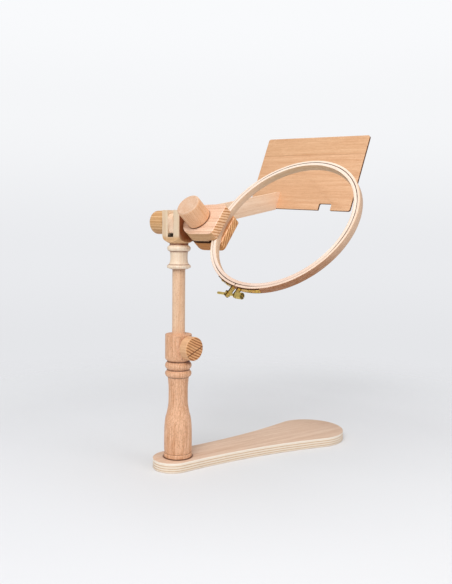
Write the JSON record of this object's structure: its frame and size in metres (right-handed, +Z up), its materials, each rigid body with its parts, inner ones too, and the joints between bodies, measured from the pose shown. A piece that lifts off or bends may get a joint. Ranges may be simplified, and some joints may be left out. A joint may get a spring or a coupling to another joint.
{
  "type": "embroidery lap stand",
  "caption": "Sit-on embroidery stand: a paddle base carries a turned post with a sliding rod, a tilting clamp that grips a round hoop, and a chart board on an arm.",
  "frame": {"origin": "on the axis of the post, at the underside of the base", "axes": "+Z up along the post, +X along the base from the post to its wide end"},
  "size_m": [0.3805, 0.4151, 0.5503],
  "materials": {
    "base_ply": "satin",
    "post_beech": "satin",
    "pale_beech": "satin",
    "knob_beech": "satin",
    "arm_beech": "satin",
    "board_ply": "satin",
    "jaw_beech": "satin",
    "hoop_beech": "satin",
    "brass": "polished",
    "zinc_steel": "zinc plated"
  },
  "bodies": {
    "base": {"base": "base_ply", "post_screws": "zinc_steel", "post": "post_beech", "height_insert": "brass"},
    "rod": {"rod": "pale_beech"},
    "head": {"head": "pale_beech"},
    "chart_arm": {"arm": "arm_beech", "chart_board": "board_ply", "board_screws": "zinc_steel"},
    "hoop_holder": {"upper_jaw": "jaw_beech", "pivot_stud": "zinc_steel"},
    "pivot_washer": {"pivot_washer": "zinc_steel"},
    "pivot_knob": {"pivot_knob": "knob_beech", "pivot_knob_insert": "brass"},
    "height_screw": {"height_stud": "zinc_steel"},
    "height_knob": {"height_knob": "knob_beech"},
    "lower_jaw": {"lower_jaw": "jaw_beech", "jaw_bolt": "zinc_steel"},
    "jaw_knob": {"jaw_knob": "knob_beech", "jaw_knob_insert": "brass", "jaw_washer": "zinc_steel"},
    "hoop": {"hoop_outer_ring": "hoop_beech", "hoop_bracket_left": "brass", "hoop_bracket_right": "brass", "bracket_rivets": "brass", "tension_nut": "brass"},
    "inner_ring": {"hoop_inner_ring": "hoop_beech"},
    "tension_screw": {"tension_screw": "brass"}
  },
  "joints": [
    {"name": "rod_height", "type": "slide", "parent": "base", "child": "rod", "axis": [0, 0, 1], "range_m": [-0.085, 0.045]},
    {"name": "head_turn", "type": "hinge", "parent": "rod", "child": "head", "pos_m": [0, 0, 0.33], "axis": [0, 0, 1], "continuous": true},
    {"name": "arm_tilt", "type": "hinge", "parent": "head", "child": "chart_arm", "pos_m": [0, 0, 0.386], "axis": [-0.2588, 0.9659, 0], "range_deg": [-14, 27]},
    {"name": "hoop_tilt", "type": "hinge", "parent": "head", "child": "hoop_holder", "pos_m": [0, 0, 0.386], "axis": [-0.2588, 0.9659, 0], "continuous": true},
    {"name": "height_knob_turn", "type": "hinge", "parent": "height_screw", "child": "height_knob", "pos_m": [0.00606, -0.02734, 0.1922], "axis": [0.2164, -0.9763, 0], "range_deg": [0, 720]},
    {"name": "height_screw_travel", "type": "slide", "parent": "base", "child": "height_screw", "axis": [0.2164, -0.9763, 0], "range_m": [0, 0.0025]},
    {"name": "pivot_knob_turn", "type": "hinge", "parent": "pivot_washer", "child": "pivot_knob", "pos_m": [-0.0088, 0.03284, 0.386], "axis": [-0.2588, 0.9659, 0], "range_deg": [0, 720]},
    {"name": "pivot_knob_travel", "type": "slide", "parent": "hoop_holder", "child": "pivot_washer", "axis": [-0.2588, 0.9659, 0], "range_m": [0, 0.0025]},
    {"name": "jaw_knob_turn", "type": "hinge", "parent": "hoop_holder", "child": "jaw_knob", "pos_m": [-0.00284, -0.04973, 0.39849], "axis": [-0.7544, -0.2021, 0.6246], "range_deg": [0, 1440]},
    {"name": "jaw_opening", "type": "slide", "parent": "hoop_holder", "child": "lower_jaw", "axis": [0.7544, 0.2021, -0.6246], "range_m": [0, 0.006]},
    {"name": "hoop_slide", "type": "slide", "parent": "hoop_holder", "child": "hoop", "axis": [0.2588, -0.9659, 0], "range_m": [0, 0.025]},
    {"name": "inner_ring_turn", "type": "hinge", "parent": "hoop", "child": "inner_ring", "pos_m": [0.06246, -0.17562, 0.38332], "axis": [-0.7544, -0.2021, 0.6246], "continuous": true},
    {"name": "tension_screw_turn", "type": "hinge", "parent": "hoop", "child": "tension_screw", "pos_m": [-0.01796, -0.17028, 0.2879], "axis": [0.2269, -0.9731, -0.0409], "range_deg": [0, 1080]}
  ],
  "couplings": [
    {"joint": "height_screw_travel", "follows": "height_knob_turn", "m_per_rad": 0.00019894},
    {"joint": "pivot_knob_travel", "follows": "pivot_knob_turn", "m_per_rad": 0.00019894},
    {"joint": "jaw_opening", "follows": "jaw_knob_turn", "m_per_rad": 0.00023873}
  ]
}
